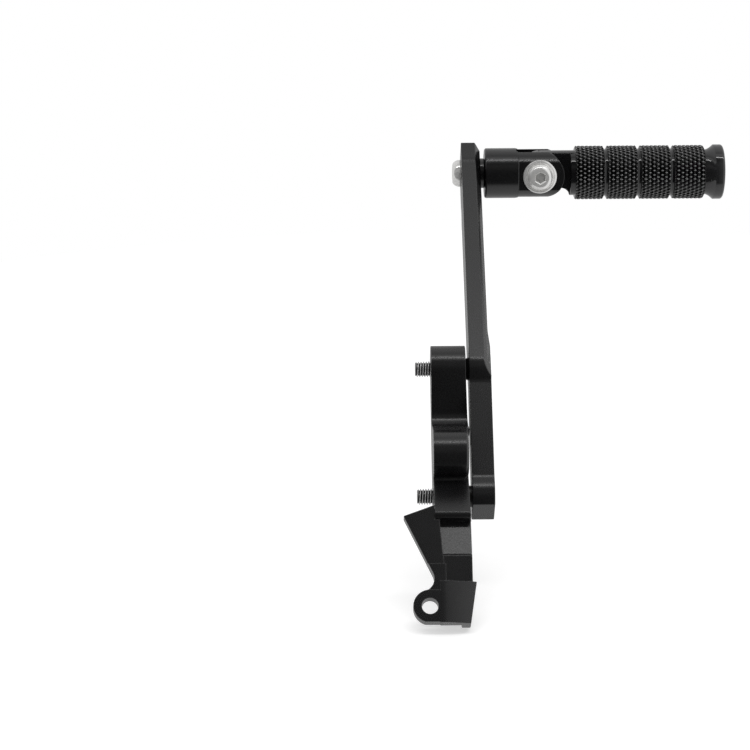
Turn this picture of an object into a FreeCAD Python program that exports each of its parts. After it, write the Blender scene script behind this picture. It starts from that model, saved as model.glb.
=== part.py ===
"""Right-hand folding footpeg of a motorcycle, with its arm and its frame bracket.

Lengths are in millimetres. +X points outboard along the peg, +Z is up and +Y points away
from the side that is seen in front. The origin is halfway between the two bracket bolts, in the
plane of the bracket's face that lies against the frame.

Bracket and arm are plates in the Y-Z plane that lean back. They are drawn upright about the
upper bracket bolt and then leaned: "u" runs up along the plate (local Z) and "w" runs across it
(local Y, front is minus). The last step moves every piece from that bolt to the row's origin.
"""
import FreeCAD, Part
import math
import os
from FreeCAD import Vector

X_AXIS = Vector(1, 0, 0)
Y_AXIS = Vector(0, 1, 0)
Z_AXIS = Vector(0, 0, 1)
ORIGIN = Vector(0, 0, 0)

# Layout of the whole assembly
bracket_lean_deg = 38.0         # lean of the bracket and of the arm's lower bar
arm_kink_deg = 12.0             # further lean of the arm's upper bar
bolt_spacing = 66.0             # upper to lower bracket bolt
peg_reach_up = 123.2            # upper bracket bolt to peg axis, along the arm's upper bar

# M8 hardware
m8_radius = 4.0
m8_shank_radius = 3.7           # reduced shank of the bracket bolts
m8_clearance_radius = 4.25
m8_tapped_radius = 4.06         # plain wall that stands for the tapped hole
hex_socket_across = 5.0
hex_socket_depth = 3.0
bolt_end_chamfer = 0.9
countersunk_head_radius = 7.9
countersunk_head_height = 3.9
countersink_clearance = 0.2
button_head_radius = 7.0
button_head_height = 4.4
flange_radius = 8.75
flange_height = 1.2
flanged_dome_radius = 6.9
flanged_dome_height = 3.2
nut_across = 13.0
nut_hex_height = 5.6
nut_collar_height = 2.4
nut_collar_radius = 6.15
nut_washer_height = 0.5
insert_wall = 1.15
insert_height = 1.8
insert_lip = 0.35

# Bracket
bracket_thickness = 16.9
web_set_out = 1.1               # the web's outer face runs out this much on its way down
web_low_u = -36.0               # where the web meets the front lobe
lobe_radius = 11.5
notch_slope_deg = 29.0          # front of the web falls back below the upper lobe
notch_depth_u = 28.0            # lowest point of the notch below the upper bolt
notch_fillet = 6.0
front_lobe_u = -49.0
front_lobe_w = -14.0
front_lobe_radius = 11.2
front_lobe_chamfer = 1.0        # on its outer rim
nose_u = -84.6                  # underside of the nose
nose_w = -26.3                  # front corner of the nose
shelf_slope_deg = 32.6
nose_fillet = 2.5
shelf_fillet = 1.6
spine_back_low_w = -3.0
stud_length = 7.7               # thread that stands out of the frame face

# Leg and foot below the nose
leg_left_x = 1.8
leg_width = 15.3
leg_top_w = -18.5
leg_knee_u = -101.4
leg_knee_w = -21.3
leg_front_w = -22.8
leg_back_top_w = -3.6
leg_back_low_w = -13.0
leg_overlap_u = 4.0             # the leg reaches this far up into the spine
leg_knee_fillet = 0.9
foot_top_u = -115.2
foot_bottom_u = -135.2
foot_front_left_w = -26.0
foot_front_right_w = -23.2
foot_back_w = -15.4
foot_thick_x = 11.6             # the foot is as thin as the lug on the inner side of this
foot_right_top_x = 18.9
foot_right_bottom_x = 15.8

# Fin and lug
fin_front_w = -23.0
fin_thickness = 6.3
fin_tip = (-14.7, -83.0)        # X, u of the outer top corner
fin_root_u = -77.6              # top edge where it meets the frame face
fin_low = (-2.45, -108.9)       # X, u of a point low on the slanted edge
fin_right_top_x = 2.2
fin_right_x = 4.8
lug_x = -3.0
lug_u = -127.4
lug_radius = 7.8
lug_hole_radius = 3.8
lug_bottom_u = -134.9
lug_step = 3.0                  # the lug stands this much in front of the fin
neck_step = 1.5
neck_top_u = -106.5
neck_radius = 6.5               # hollow between the fin's slanted edge and the lug
lug_overlap = 1.5

# Arm
arm_gap = 1.7                   # between bracket and arm
arm_thickness = 10.8            # of the lower bar and its bosses
upper_bar_step = 1.0            # the upper bar is thinner by this much on the outer side
upper_bar_step_s = 9.0          # the step starts here above the upper bolt
upper_bar_step_run = 8.0
arm_boss_radius = 11.3
lower_bar_front_top_inset = 3.9     # how far the lower bar lies inside the width of its bosses
lower_bar_front_low_inset = 1.7
lower_bar_back_inset = 2.3
lower_end_inset = 2.5           # flat lower end, cut off the lower boss
lower_end_tilt_deg = 12.0       # it turns this much towards the front
upper_boss_fillet = 5.0
lower_boss_fillet = 7.0
lower_end_fillet = 1.0
head_top_margin = 0.2           # the square top end stands this much beyond the boss radius
wing_hole_s = -19.5             # lightening hole, from the peg axis along the bar
wing_hole_t = 17.0
wing_hole_radius = 7.5
wing_radius = 13.2
wing_fillet = 5.0
bevel_depth_x = 2.6             # large bevel along the outer front edge
bevel_depth_t = 3.1
edge_break = 0.4

# Spacers in the gap between bracket and arm
spacer_bore_radius = 3.85
upper_spacer_radius = 4.9
upper_spacer_flare = 5.8
lower_spacer_radius = 5.2

# Clevis
clevis_washer_radius = 7.75
clevis_washer_thickness = 2.4
face_clearance = 0.05           # between faces that turn on each other
clevis_radius = 13.0
clevis_body_length = 17.3
clevis_edge_break = 0.6
fork_radius = 12.6
slot_past_step = 0.8            # the slot's floor lies this much inside the body
pivot_from_floor = 11.9
fork_end_radius = 12.8
flat_half_width = 10.3          # half the width across the fork's two milled flats
slot_half_width = 4.15
clevis_bolt_grip = 13.0         # thread held in the clevis
clevis_tap_depth = 15.0

# Peg
tongue_half_width = 4.0
tongue_end_clearance = 0.25
tongue_under_z = -7.4           # underside of the tongue, relieved below the fork
relief_radius = 4.6
stop_corner_z = -9.4
collar_radius = 11.7            # of the collar and of the bar that the tongue is milled from
collar_from_pivot = 16.1
collar_length = 2.5
barrel_length = 67.3
barrel_radius = 13.45           # to the floor of the knurl
band_count = 4
first_band_length = 15.8        # up to the middle of its groove
groove_width = 1.5
groove_depth = 1.5
band_edge_break = 0.5
barrel_bore_radius = 6.05
barrel_bore_depth = 12.0
screw_bore_radius = 3.0
screw_bore_depth = 22.0

# End cap and its screw
cap_neck_radius = 11.7
cap_neck_length = 1.5
cap_flare_length = 3.5
cap_rim_radius = 14.2
cap_rim_length = 4.85
cap_rim_edge = 1.3
cap_spigot_radius = 6.0
cap_spigot_length = 11.0
cap_counterbore_radius = 5.3
cap_counterbore_depth = 6.3
cap_screw_radius = 3.0
cap_screw_hole_radius = 3.2
cap_screw_head_radius = 5.0
cap_screw_head_height = 5.6
cap_screw_socket_across = 5.0
cap_screw_length = 19.0

# Values that follow from the ones above
lower_bar_front_top_w = lower_bar_front_top_inset - arm_boss_radius
lower_bar_front_low_w = lower_bar_front_low_inset - arm_boss_radius
lower_bar_back_w = arm_boss_radius - lower_bar_back_inset
lower_end_reach = arm_boss_radius - lower_end_inset
head_top_s = arm_boss_radius + head_top_margin
arm_inner_x = bracket_thickness + arm_gap
arm_outer_x = arm_inner_x + arm_thickness
head_face_x = arm_outer_x - upper_bar_step
arm_lean_deg = bracket_lean_deg + arm_kink_deg
peg_y = peg_reach_up * math.sin(math.radians(arm_lean_deg))
peg_z = peg_reach_up * math.cos(math.radians(arm_lean_deg))
clevis_back_x = head_face_x + clevis_washer_thickness + face_clearance
fork_x = clevis_back_x + clevis_body_length
slot_floor_x = fork_x - slot_past_step
pivot_x = slot_floor_x + pivot_from_floor
collar_x = pivot_x + collar_from_pivot
barrel_x = collar_x + collar_length
barrel_end_x = barrel_x + barrel_length
LONG = 400.0


def prism_x(points, x0, x1):
    """Solid between two X planes over an outline of (u, w) points."""
    wire = Part.makePolygon([Vector(x0, w, u) for u, w in points + points[:1]])
    return Part.Face(wire).extrude(X_AXIS * (x1 - x0))


def prism_w(points, w0, w1):
    """Solid between two w planes over an outline of (x, u) points."""
    wire = Part.makePolygon([Vector(x, w0, u) for x, u in points + points[:1]])
    return Part.Face(wire).extrude(Y_AXIS * (w1 - w0))


def prism_u(points, u0, u1):
    """Solid between two u planes over an outline of (x, w) points."""
    wire = Part.makePolygon([Vector(x, w, u0) for x, w in points + points[:1]])
    return Part.Face(wire).extrude(Z_AXIS * (u1 - u0))


def disc_x(u, w, radius, x0, x1):
    """Cylinder along X about the point (u, w)."""
    return Part.makeCylinder(radius, x1 - x0, Vector(x0, w, u), X_AXIS)


def box(x0, x1, y0, y1, z0, z1):
    return Part.makeBox(x1 - x0, y1 - y0, z1 - z0, Vector(x0, y0, z0))


def fuse(first, *others):
    return first.multiFuse(list(others)).removeSplitter()


def leaned(shape, degrees):
    """Lean an upright plate back about the upper bolt's axis."""
    copy = shape.copy()
    copy.rotate(ORIGIN, X_AXIS, -degrees)
    return copy


def at_peg(shape):
    """Move a piece drawn about the X axis to the peg's axis."""
    copy = shape.copy()
    copy.translate(Vector(0, peg_y, peg_z))
    return copy


def edges_at(shape, direction, spots, reach=0.8):
    """Straight edges along a direction that pass within reach of one of the spots."""
    found = []
    for edge in shape.Edges:
        if len(edge.Vertexes) != 2 or not isinstance(edge.Curve, Part.Line):
            continue
        run = edge.Vertexes[1].Point - edge.Vertexes[0].Point
        if run.cross(direction).Length > 1e-4 * run.Length:
            continue
        for spot in spots:
            offset = edge.CenterOfMass - spot
            if (offset - direction * offset.dot(direction)).Length < reach:
                found.append(edge)
                break
    return found


def revolve_x(outline):
    """Solid of revolution about X from (x, radius) points that start and end on the axis."""
    wire = Part.makePolygon([Vector(x, 0, r) for x, r in outline + outline[:1]])
    return Part.Face(wire).revolve(ORIGIN, X_AXIS, 360)


def hexagon_x(across, x0, x1):
    """Hexagonal prism along X."""
    corner = across / math.sqrt(3)
    points = [Vector(x0, corner * math.cos(math.radians(a)), corner * math.sin(math.radians(a)))
              for a in range(0, 361, 60)]
    return Part.Face(Part.makePolygon(points)).extrude(X_AXIS * (x1 - x0))


def turned_to(shape, direction):
    """Turn a piece drawn along +X so that it runs along another direction."""
    turn = FreeCAD.Rotation(X_AXIS, direction)
    copy = shape.copy()
    copy.rotate(ORIGIN, turn.Axis, math.degrees(turn.Angle))
    return copy


def circle_reach(radius, offset):
    """How far a circle extends along a line at this offset from its centre."""
    return math.sqrt(radius ** 2 - offset ** 2)


def tangent_point(point, centre, radius, side):
    """Point where the line from a point touches a circle; side is 1 or -1."""
    du, dw = point[0] - centre[0], point[1] - centre[1]
    distance = math.hypot(du, dw)
    angle = math.atan2(dw, du) + side * math.acos(radius / distance)
    return centre[0] + radius * math.cos(angle), centre[1] + radius * math.sin(angle)


def shelf_w(u):
    """Front of the shelf, which comes forward on its way down to the nose."""
    return nose_w + (u - nose_u) * math.tan(math.radians(shelf_slope_deg))


def shelf_corner():
    """Point (u, w) where the front lobe's underside meets the shelf."""
    slope = math.radians(shelf_slope_deg)
    run_u, run_w = math.cos(slope), math.sin(slope)
    du, dw = nose_u - front_lobe_u, nose_w - front_lobe_w
    half = du * run_u + dw * run_w
    along = -half - math.sqrt(half ** 2 - du ** 2 - dw ** 2 + front_lobe_radius ** 2)
    return nose_u + along * run_u, nose_w + along * run_w


def bracket_spine():
    """Upper lobe, notched web, front lobe, shelf and nose."""
    slope = math.radians(notch_slope_deg)
    lobe_touch = (-lobe_radius * math.sin(slope), -lobe_radius * math.cos(slope))
    notch = (-notch_depth_u, lobe_touch[1] + (notch_depth_u + lobe_touch[0]) * math.tan(slope))
    front_lobe = (front_lobe_u, front_lobe_w)
    lobe_root = tangent_point(notch, front_lobe, front_lobe_radius, -1)
    shelf_top = (front_lobe_u, shelf_w(front_lobe_u))
    low_back = (nose_u, spine_back_low_w)
    low_touch = tangent_point(low_back, (-bolt_spacing, 0), lobe_radius, -1)
    outline = [(0, 0), lobe_touch, notch, lobe_root, front_lobe, shelf_top, (nose_u, nose_w),
               low_back, low_touch, (-bolt_spacing, lobe_radius), (0, lobe_radius)]
    outer = bracket_thickness
    rim = Part.makeCone(front_lobe_radius, front_lobe_radius - front_lobe_chamfer, front_lobe_chamfer,
                        Vector(outer - front_lobe_chamfer, front_lobe_w, front_lobe_u), X_AXIS)
    web_face = prism_w([(0, lobe_touch[0]), (outer, lobe_touch[0]), (outer + web_set_out, web_low_u),
                        (0, web_low_u)], -LONG, LONG)
    web = prism_x([lobe_touch, notch, lobe_root, (web_low_u, lobe_radius), (lobe_touch[0], lobe_radius)],
                  0, outer + web_set_out)
    spine = fuse(prism_x(outline, 0, outer), web.common(web_face),
                 disc_x(0, 0, lobe_radius, 0, outer),
                 disc_x(front_lobe_u, front_lobe_w, front_lobe_radius, 0, outer - front_lobe_chamfer), rim,
                 disc_x(-bolt_spacing, 0, lobe_radius, 0, outer))
    spine = spine.makeFillet(notch_fillet, edges_at(spine, X_AXIS, [Vector(0, notch[1], notch[0])]))
    spine = spine.makeFillet(nose_fillet, edges_at(spine, X_AXIS, [Vector(0, nose_w, nose_u)]))
    corner = shelf_corner()
    return spine.makeFillet(shelf_fillet, edges_at(spine, X_AXIS, [Vector(0, corner[1], corner[0])]))


def bracket_leg():
    """Set-back leg between the nose and the foot, with a small knee in its front."""
    knee_low_u = leg_knee_u - (leg_knee_w - leg_front_w) / 2
    outline = [(nose_u + leg_overlap_u, leg_top_w), (nose_u, leg_top_w), (leg_knee_u, leg_knee_w),
               (knee_low_u, leg_front_w), (foot_top_u - leg_overlap_u, leg_front_w),
               (foot_top_u - leg_overlap_u, leg_back_low_w), (foot_top_u, leg_back_low_w),
               (nose_u + leg_overlap_u, leg_back_top_w)]
    leg = prism_x(outline, leg_left_x, leg_left_x + leg_width)
    return leg.makeFillet(leg_knee_fillet, edges_at(leg, X_AXIS, [Vector(0, leg_front_w, knee_low_u)], 0.1))


def bracket_foot():
    """Foot block whose front turns away towards the outer side."""
    thin_back_w = fin_front_w - lug_step + fin_thickness
    plan = [(fin_right_x, foot_front_left_w), (foot_right_top_x, foot_front_right_w),
            (foot_right_top_x, foot_back_w), (foot_thick_x, foot_back_w), (foot_thick_x, thin_back_w),
            (leg_left_x, thin_back_w), (leg_left_x, foot_front_left_w)]
    foot = prism_u(plan, foot_bottom_u, foot_top_u)
    side_cut = prism_w([(foot_right_top_x, foot_top_u), (foot_right_bottom_x, foot_bottom_u),
                        (foot_right_bottom_x, foot_bottom_u - 1), (LONG, foot_bottom_u - 1),
                        (LONG, foot_top_u)], -LONG, LONG)
    return foot.cut(side_cut)


def neck_hollow():
    """Centre of the hollow left of the neck, and where it touches the fin's edge and the lug, as (x, u)."""
    dx, du = fin_low[0] - fin_tip[0], fin_low[1] - fin_tip[1]
    run_x, run_u = dx / math.hypot(dx, du), du / math.hypot(dx, du)
    start_x, start_u = fin_low[0] + neck_radius * run_u, fin_low[1] - neck_radius * run_x
    gap_x, gap_u = start_x - lug_x, start_u - lug_u
    half = gap_x * run_x + gap_u * run_u
    reach = neck_radius + lug_radius
    along = -half - math.sqrt(half ** 2 - gap_x ** 2 - gap_u ** 2 + reach ** 2)
    centre = (start_x + along * run_x, start_u + along * run_u)
    on_edge = (fin_low[0] + along * run_x, fin_low[1] + along * run_u)
    share = neck_radius / reach
    on_lug = (centre[0] + (lug_x - centre[0]) * share, centre[1] + (lug_u - centre[1]) * share)
    return centre, on_edge, on_lug


def bracket_fin():
    """Fin that faces the front, its neck, and the lug with its hole."""
    centre, on_edge, on_lug = neck_hollow()
    share = (neck_top_u - fin_tip[1]) / (fin_low[1] - fin_tip[1])
    neck_top_x = fin_tip[0] + share * (fin_low[0] - fin_tip[0])
    blade_end_u = lug_u + lug_radius - lug_overlap
    lower_edge = [(fin_right_x, blade_end_u), (on_lug[0], blade_end_u), on_lug, centre, on_edge]
    blade = prism_w([fin_tip, (0, fin_root_u), (0, nose_u), (fin_right_top_x, nose_u)] + lower_edge,
                    fin_front_w, fin_front_w + fin_thickness)
    neck = prism_w([(neck_top_x, neck_top_u), (fin_right_x, neck_top_u)] + lower_edge,
                   fin_front_w - neck_step, fin_front_w)
    hollow = Part.makeCylinder(neck_radius, 2 * LONG, Vector(centre[0], -LONG, centre[1]), Y_AXIS)
    lug_front_w = fin_front_w - lug_step
    lug = fuse(Part.makeCylinder(lug_radius, fin_thickness, Vector(lug_x, lug_front_w, lug_u), Y_AXIS),
               prism_w([(lug_x, lug_u + lug_radius), (fin_right_x, lug_u + lug_radius),
                        (fin_right_x, lug_bottom_u), (lug_x, lug_bottom_u)],
                       lug_front_w, lug_front_w + fin_thickness))
    lug = lug.cut(box(-LONG, LONG, -LONG, LONG, lug_bottom_u - LONG, lug_bottom_u))
    return blade.cut(hollow), neck.cut(hollow), lug


def mounting_bracket():
    blade, neck, lug = bracket_fin()
    body = fuse(bracket_spine(), bracket_leg(), bracket_foot(), blade, neck, lug)
    holes = [disc_x(0, 0, m8_clearance_radius, -1, bracket_thickness + 1),
             disc_x(-bolt_spacing, 0, m8_clearance_radius, -1, bracket_thickness + 1),
             Part.makeCylinder(lug_hole_radius, LONG, Vector(lug_x, -LONG / 2, lug_u), Y_AXIS)]
    for hole in holes:
        body = body.cut(hole)
    return leaned(body, bracket_lean_deg)


def upper_bar(x0, x1):
    """Upper bar and head of the arm, drawn upright: s is u here, t is w."""
    front = -arm_boss_radius
    top = peg_reach_up + head_top_s
    wing_s = peg_reach_up + wing_hole_s
    bar = prism_x([(0, front), (top, front), (top, 0), (peg_reach_up, arm_boss_radius),
                   (0, arm_boss_radius)], x0, x1)
    peg_end = (peg_reach_up, 0)
    wing = (wing_s, wing_hole_t)
    run = Vector(0, wing[1] - peg_end[1], wing[0] - peg_end[0])
    turn = math.acos((head_top_s - wing_radius) / run.Length)
    along = math.atan2(run.y, run.z)
    sides = []
    for side in (1, -1):
        angle = along + side * turn
        sides.append([(c[0] + r * math.cos(angle), c[1] + r * math.sin(angle))
                      for c, r in ((peg_end, head_top_s), (wing, wing_radius))])
    web = prism_x([sides[0][0], sides[0][1], sides[1][1], sides[1][0]], x0, x1)
    return fuse(bar, disc_x(peg_end[0], peg_end[1], head_top_s, x0, x1),
                disc_x(wing[0], wing[1], wing_radius, x0, x1), web)


def lower_bar(x0, x1):
    """Lower bar of the arm with its boss and its flat lower end."""
    bar = prism_x([(0, lower_bar_front_top_w), (-bolt_spacing, lower_bar_front_low_w),
                   (-bolt_spacing, lower_bar_back_w), (0, lower_bar_back_w)], x0, x1)
    bar = fuse(bar, disc_x(-bolt_spacing, 0, arm_boss_radius, x0, x1))
    below = leaned(box(-LONG, LONG, -LONG, LONG, -LONG, -lower_end_reach), lower_end_tilt_deg)
    below.translate(Vector(0, 0, -bolt_spacing))
    return bar.cut(below)


def bar_front_w(u):
    """Front of the lower bar at a height."""
    share = -u / bolt_spacing
    return lower_bar_front_top_w + share * (lower_bar_front_low_w - lower_bar_front_top_w)


def arm_plate():
    x0, x1 = arm_inner_x, arm_outer_x
    upper = leaned(upper_bar(x0, x1), arm_kink_deg)
    body = fuse(lower_bar(x0, x1), upper, disc_x(0, 0, arm_boss_radius, x0, x1))
    back_reach = circle_reach(arm_boss_radius, lower_bar_back_w)
    front_reach = circle_reach(arm_boss_radius, lower_bar_front_low_w)
    front_low_u = -bolt_spacing + front_reach
    spots_low = [Vector(0, lower_bar_back_w, -bolt_spacing + back_reach),
                 Vector(0, bar_front_w(front_low_u), front_low_u)]
    front_up_u = -circle_reach(arm_boss_radius, lower_bar_front_top_w)
    spots_up = [Vector(0, bar_front_w(front_up_u), front_up_u), Vector(0, lower_bar_back_w, -back_reach)]
    body = body.makeFillet(lower_boss_fillet, edges_at(body, X_AXIS, spots_low))
    body = body.makeFillet(upper_boss_fillet, edges_at(body, X_AXIS, spots_up))
    end_half = circle_reach(arm_boss_radius, lower_end_reach)
    spots_end = []
    for side in (-1, 1):
        corner = leaned(Part.Vertex(Vector(0, side * end_half, -lower_end_reach)), lower_end_tilt_deg).Point
        spots_end.append(corner - Z_AXIS * bolt_spacing)
    body = body.makeFillet(lower_end_fillet, edges_at(body, X_AXIS, spots_end))
    body = leaned(body, -arm_kink_deg)
    wing_reach = circle_reach(wing_radius, wing_hole_t - arm_boss_radius)
    wing_spot = Vector(0, arm_boss_radius, peg_reach_up + wing_hole_s - wing_reach)
    body = body.makeFillet(wing_fillet, edges_at(body, X_AXIS, [wing_spot]))
    for cutter in [arm_step()] + arm_bevels() + arm_head_holes():
        body = body.cut(cutter)
    body = leaned(body, arm_kink_deg)
    for u in (0, -bolt_spacing):
        body = body.cut(disc_x(u, 0, m8_clearance_radius, x0 - 1, x1 + 1)).cut(countersink(u))
    return leaned(body, bracket_lean_deg)


def arm_step():
    """Layer that makes the upper bar thinner than the lower one, with a ramp at its start."""
    ramp_end = upper_bar_step_s + upper_bar_step_run
    return prism_w([(arm_outer_x, upper_bar_step_s), (head_face_x, ramp_end), (head_face_x, LONG),
                    (LONG, LONG), (LONG, upper_bar_step_s)], -LONG, LONG)


def arm_bevels():
    """Wedges that bevel the outer front edge of the upper bar and its top end."""
    front, top = -arm_boss_radius, peg_reach_up + head_top_s
    wide = 2.0
    slope = bevel_depth_t / bevel_depth_x
    outer = head_face_x
    along_front = prism_u([(outer - bevel_depth_x, front), (outer + wide, front + bevel_depth_t + wide * slope),
                           (outer + wide, front - LONG), (outer - bevel_depth_x, front - LONG)],
                          -bolt_spacing, top + wide)
    across_top = prism_w([(outer - bevel_depth_x, top), (outer + wide, top - bevel_depth_t - wide * slope),
                          (outer + wide, top + LONG), (outer - bevel_depth_x, top + LONG)],
                         front - wide, -front * 3)
    return [along_front, across_top]


def arm_head_holes():
    """Bolt hole of the peg and lightening hole of the wing."""
    return [disc_x(peg_reach_up, 0, m8_clearance_radius, arm_inner_x - 1, arm_outer_x + 1),
            disc_x(peg_reach_up + wing_hole_s, wing_hole_t, wing_hole_radius,
                   arm_inner_x - 1, arm_outer_x + 1)]


def countersink(u):
    """Cone for a flush bolt head in the arm's outer face."""
    growth = (countersunk_head_radius - m8_shank_radius) / countersunk_head_height
    top = countersunk_head_radius + countersink_clearance
    return Part.makeCone(top - growth * countersunk_head_height, top, countersunk_head_height,
                         Vector(arm_outer_x - countersunk_head_height, 0, u), X_AXIS)


def bracket_bolt(u):
    """Countersunk bolt from the arm's outer face to the thread beyond the frame face."""
    head_x = arm_outer_x - countersunk_head_height
    bolt = revolve_x([(-stud_length, 0), (-stud_length, m8_radius - bolt_end_chamfer),
                      (-stud_length + bolt_end_chamfer, m8_radius), (0, m8_radius), (0, m8_shank_radius),
                      (head_x, m8_shank_radius), (arm_outer_x, countersunk_head_radius), (arm_outer_x, 0)])
    bolt = bolt.cut(hexagon_x(hex_socket_across, arm_outer_x - hex_socket_depth, arm_outer_x + 1))
    bolt.translate(Vector(0, 0, u))
    return leaned(bolt, bracket_lean_deg)


def spacer(u, x0, radius, flare):
    """Ring on a bracket bolt that fills the gap up to the arm."""
    ring = revolve_x([(x0, 0), (x0, radius), (arm_inner_x, flare), (arm_inner_x, 0)])
    ring = ring.cut(disc_x(0, 0, spacer_bore_radius, x0 - 1, arm_inner_x + 1))
    ring.translate(Vector(0, 0, u))
    return leaned(ring, bracket_lean_deg)


def dome(x0, base_radius, height, crown_radius):
    """Low domed head on the plane x0, growing towards -X, turned in a few cones."""
    steps = 4
    outline = [(x0, 0), (x0, base_radius)]
    for step in range(1, steps + 1):
        angle = math.radians(90) * step / steps
        outline.append((x0 - height * math.sin(angle),
                        crown_radius + (base_radius - crown_radius) * math.cos(angle)))
    return revolve_x(outline + [(x0 - height, 0)])


def clevis_bolt():
    """Button head bolt through the arm's head into the clevis."""
    end_x = clevis_back_x + clevis_bolt_grip
    head = dome(arm_inner_x, button_head_radius, button_head_height, button_head_radius * 0.55)
    shank = revolve_x([(arm_inner_x - 1, 0), (arm_inner_x - 1, m8_radius), (end_x - bolt_end_chamfer, m8_radius),
                       (end_x, m8_radius - bolt_end_chamfer), (end_x, 0)])
    socket_x = arm_inner_x - button_head_height
    bolt = fuse(head, shank).cut(hexagon_x(hex_socket_across, socket_x - 1, socket_x + hex_socket_depth))
    return at_peg(bolt)


def clevis_washer():
    x0 = head_face_x
    x1 = x0 + clevis_washer_thickness
    ring = revolve_x([(x0, 0), (x0, clevis_washer_radius), (x1 - edge_break, clevis_washer_radius),
                      (x1, clevis_washer_radius - edge_break), (x1, 0)])
    return at_peg(ring.cut(disc_x(0, 0, m8_clearance_radius, x0 - 1, x1 + 1)))


def clevis():
    """Turned body with a fork that has two milled flats and a slot for the tongue."""
    x0, x1 = clevis_back_x, fork_x
    body = revolve_x([(x0, 0), (x0, clevis_radius - clevis_edge_break), (x0 + clevis_edge_break, clevis_radius),
                      (x1, clevis_radius), (x1, 0)])
    end_x = pivot_x + fork_end_radius
    fork = disc_x(0, 0, fork_radius, x1, end_x)
    upright = Part.makeCylinder(fork_end_radius, 2 * LONG, Vector(pivot_x, -LONG, 0), Y_AXIS)
    fork = fork.common(fuse(upright, box(x1, pivot_x, -LONG, LONG, -fork_end_radius, fork_end_radius)))
    for side in (-1, 1):
        y0, y1 = sorted((side * flat_half_width, side * LONG))
        fork = fork.cut(box(x1, LONG, y0, y1, -LONG, LONG))
    piece = fuse(body, fork)
    piece = piece.cut(box(slot_floor_x, LONG, -slot_half_width, slot_half_width, -LONG, LONG))
    piece = piece.cut(Part.makeCylinder(m8_clearance_radius, 2 * LONG, Vector(pivot_x, -LONG, 0), Y_AXIS))
    piece = piece.cut(disc_x(0, 0, m8_tapped_radius, x0 - 1, x0 + clevis_tap_depth))
    return at_peg(piece)


def pivot_bolt():
    """Flanged button head bolt, drawn along X with its bearing face at x = 0."""
    length = 2 * flat_half_width + nut_washer_height + nut_hex_height + nut_collar_height
    flange = revolve_x([(0, 0), (0, flange_radius - 0.3), (-0.3, flange_radius),
                        (-flange_height * 0.6, flange_radius), (-flange_height, flange_radius - 0.9), (-flange_height, 0)])
    head = dome(-flange_height, flanged_dome_radius, flanged_dome_height, flanged_dome_radius * 0.55)
    shank = revolve_x([(-1, 0), (-1, m8_radius), (length - bolt_end_chamfer, m8_radius),
                       (length, m8_radius - bolt_end_chamfer), (length, 0)])
    crown_x = -flange_height - flanged_dome_height
    bolt = fuse(flange, head, shank)
    bolt = bolt.cut(hexagon_x(hex_socket_across, crown_x - 1, crown_x + hex_socket_depth))
    bolt = turned_to(bolt, Y_AXIS)
    bolt.translate(Vector(pivot_x, -flat_half_width, 0))
    return at_peg(bolt)


def nut_and_insert():
    """Lock nut with a round collar, and the nylon ring that the collar holds."""
    hex_start, hex_end = nut_washer_height, nut_washer_height + nut_hex_height
    top = hex_end + nut_collar_height
    corner = nut_across / math.sqrt(3)
    chamfered = revolve_x([(hex_start, 0), (hex_start, corner - 0.6), (hex_start + 0.5, corner),
                           (hex_end - 0.9, corner), (hex_end, nut_across / 2 - 0.2), (hex_end, 0)])
    body = hexagon_x(nut_across, hex_start, hex_end).common(chamfered)
    base = disc_x(0, 0, nut_across / 2 - 0.1, 0, hex_start)
    collar = revolve_x([(hex_end, 0), (hex_end, nut_collar_radius), (top - 0.9, nut_collar_radius),
                        (top, nut_collar_radius - 0.9), (top, 0)])
    nut = fuse(body, base, collar).cut(disc_x(0, 0, m8_tapped_radius, -1, top + 1))
    seat_radius = m8_tapped_radius + insert_wall
    insert_end = top - insert_lip
    nut = nut.cut(disc_x(0, 0, seat_radius, insert_end - insert_height, insert_end))
    ring = disc_x(0, 0, seat_radius, insert_end - insert_height, insert_end)
    ring = ring.cut(disc_x(0, 0, m8_tapped_radius, insert_end - insert_height - 1, insert_end + 1))
    pieces = []
    for piece in (nut, ring):
        piece = turned_to(piece, Y_AXIS)
        piece.translate(Vector(pivot_x, flat_half_width, 0))
        pieces.append(at_peg(piece))
    return pieces


def tongue():
    """Milled tongue: round at the top of its end, square below, where it stops on the slot's floor."""
    radius = pivot_from_floor - tongue_end_clearance
    stop_x = slot_floor_x + face_clearance
    slab = disc_x(0, 0, collar_radius, stop_x, collar_x + 1)
    slab = slab.common(box(-LONG, LONG, -tongue_half_width, tongue_half_width, -LONG, LONG))
    round_end = Part.makeCylinder(radius, 2 * LONG, Vector(pivot_x, -LONG, 0), Y_AXIS)
    keep = fuse(round_end, box(pivot_x, LONG, -LONG, LONG, -LONG, LONG),
                box(stop_x, pivot_x, -LONG, LONG, -LONG, 0))
    slab = slab.common(keep)
    heel_x = pivot_x - pivot_from_floor / 2
    slab = slab.cut(box(-LONG, heel_x, -LONG, LONG, -LONG, stop_corner_z))
    slab = slab.cut(box(heel_x, collar_x - relief_radius, -LONG, LONG, -LONG, tongue_under_z))
    relief = Part.makeCylinder(relief_radius, 2 * LONG,
                               Vector(collar_x - relief_radius, -LONG, tongue_under_z - relief_radius), Y_AXIS)
    return slab.cut(relief)


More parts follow.
